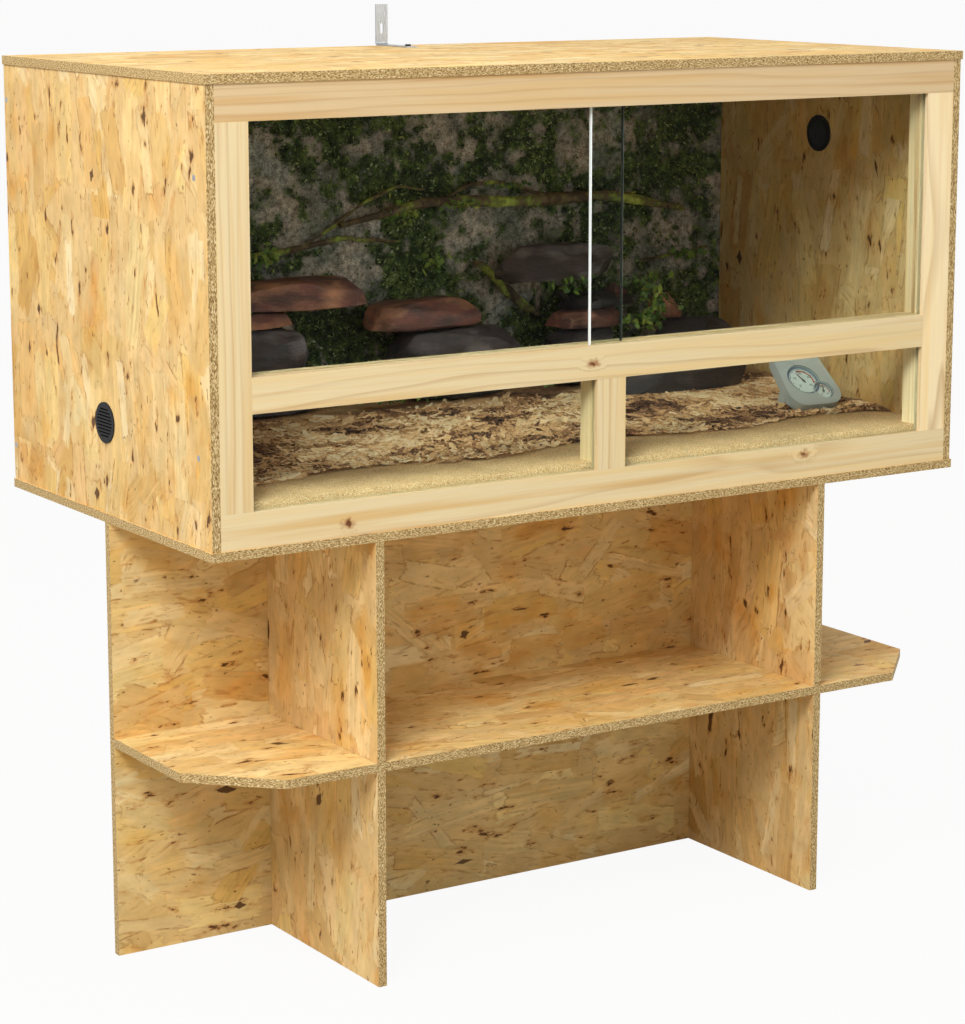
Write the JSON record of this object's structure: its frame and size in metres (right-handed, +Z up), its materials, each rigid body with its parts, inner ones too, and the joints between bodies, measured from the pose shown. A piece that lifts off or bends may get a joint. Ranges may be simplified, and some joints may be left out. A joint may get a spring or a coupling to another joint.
{
  "type": "wooden vivarium",
  "caption": "Strand-board vivarium with a pine front frame, sliding glass doors, side vents and a planted habitat, on a slotted board stand with a shelf.",
  "frame": {"origin": "centre of the footprint, on the floor", "axes": "+X along the cabinet to the viewer's right, -Y the side with the doors, +Z up"},
  "size_m": [1.2, 0.595, 1.252],
  "materials": {
    "oriented_strand_board": "pressed wood strands, sanded, cut edges left rough",
    "pine": "planed knotty pine, unvarnished",
    "float_glass": "clear float glass with ground edges",
    "black_plastic": "moulded, fine texture",
    "zinc_steel": "bright zinc plate",
    "black_steel": "black passivated",
    "backdrop_cork": "carved pressed cork, stained as mossy rock",
    "branch_wood": "rough bark with moss",
    "sand": "loose fine sand",
    "bark_mulch": "loose chips and soil",
    "grey_slate": "split slate, waterworn edges",
    "red_slate": "split red slate, waterworn edges",
    "dark_slate": "split slate, waterworn edges",
    "grey_plastic": "moulded, satin",
    "dial_card": "printed sheet with plain scale marks",
    "needle_black": "stamped and painted",
    "clear_lens": "clear moulded acrylic"
  },
  "bodies": {
    "root": {"top_panel": "oriented_strand_board", "bottom_panel": "oriented_strand_board", "left_side_panel": "oriented_strand_board", "right_side_panel": "oriented_strand_board", "back_panel": "oriented_strand_board", "centre_panel": "oriented_strand_board", "left_divider": "oriented_strand_board", "right_divider": "oriented_strand_board", "shelf": "oriented_strand_board", "top_rail": "pine", "middle_rail": "pine", "bottom_rail": "pine", "left_stile": "pine", "right_stile": "pine", "mullion": "pine", "board_dowels": "pine", "frame_dowels": "pine", "left_fixed_pane": "float_glass", "right_fixed_pane": "float_glass", "left_vent_outer": "black_plastic", "left_vent_inner": "black_plastic", "right_vent_outer": "black_plastic", "right_vent_inner": "black_plastic", "side_screws": "zinc_steel", "wall_bracket": "zinc_steel", "bracket_screw": "black_steel", "backdrop": "backdrop_cork", "upper_branch": "branch_wood", "lower_branch": "branch_wood", "sand_bed": "sand", "bark_bed": "bark_mulch", "instrument_case": "grey_plastic", "thermometer_dial": "dial_card", "hygrometer_dial": "dial_card", "needle_arbors": "zinc_steel", "dial_lenses": "clear_lens", "slate_1": "grey_slate", "slate_2": "grey_slate", "slate_3": "red_slate", "slate_4": "red_slate", "slate_5": "dark_slate", "slate_6": "grey_slate", "slate_7": "red_slate", "slate_8": "dark_slate", "slate_9": "grey_slate", "slate_10": "red_slate", "slate_11": "dark_slate", "slate_12": "dark_slate", "slate_13": "red_slate", "slate_14": "grey_slate", "slate_15": "dark_slate", "slate_16": "dark_slate", "slate_17": "red_slate", "slate_18": "dark_slate"},
    "left_door": {"left_door": "float_glass"},
    "right_door": {"right_door": "float_glass"},
    "thermometer_needle": {"thermometer_needle": "needle_black"},
    "hygrometer_needle": {"hygrometer_needle": "needle_black"}
  },
  "joints": [
    {"name": "left_door_slide", "type": "slide", "parent": "root", "child": "left_door", "axis": [1, 0, 0], "range_m": [0, 0.517]},
    {"name": "right_door_slide", "type": "slide", "parent": "root", "child": "right_door", "axis": [1, 0, 0], "range_m": [-0.517, 0]},
    {"name": "thermometer_needle_turn", "type": "hinge", "parent": "root", "child": "thermometer_needle", "pos_m": [0.4783, -0.10541, 0.70652], "axis": [-0.0234, -0.6687, 0.7431], "range_deg": [-140, 90]},
    {"name": "hygrometer_needle_turn", "type": "hinge", "parent": "root", "child": "hygrometer_needle", "pos_m": [0.50267, -0.12298, 0.69147], "axis": [-0.0234, -0.6687, 0.7431], "range_deg": [-95, 135]}
  ]
}
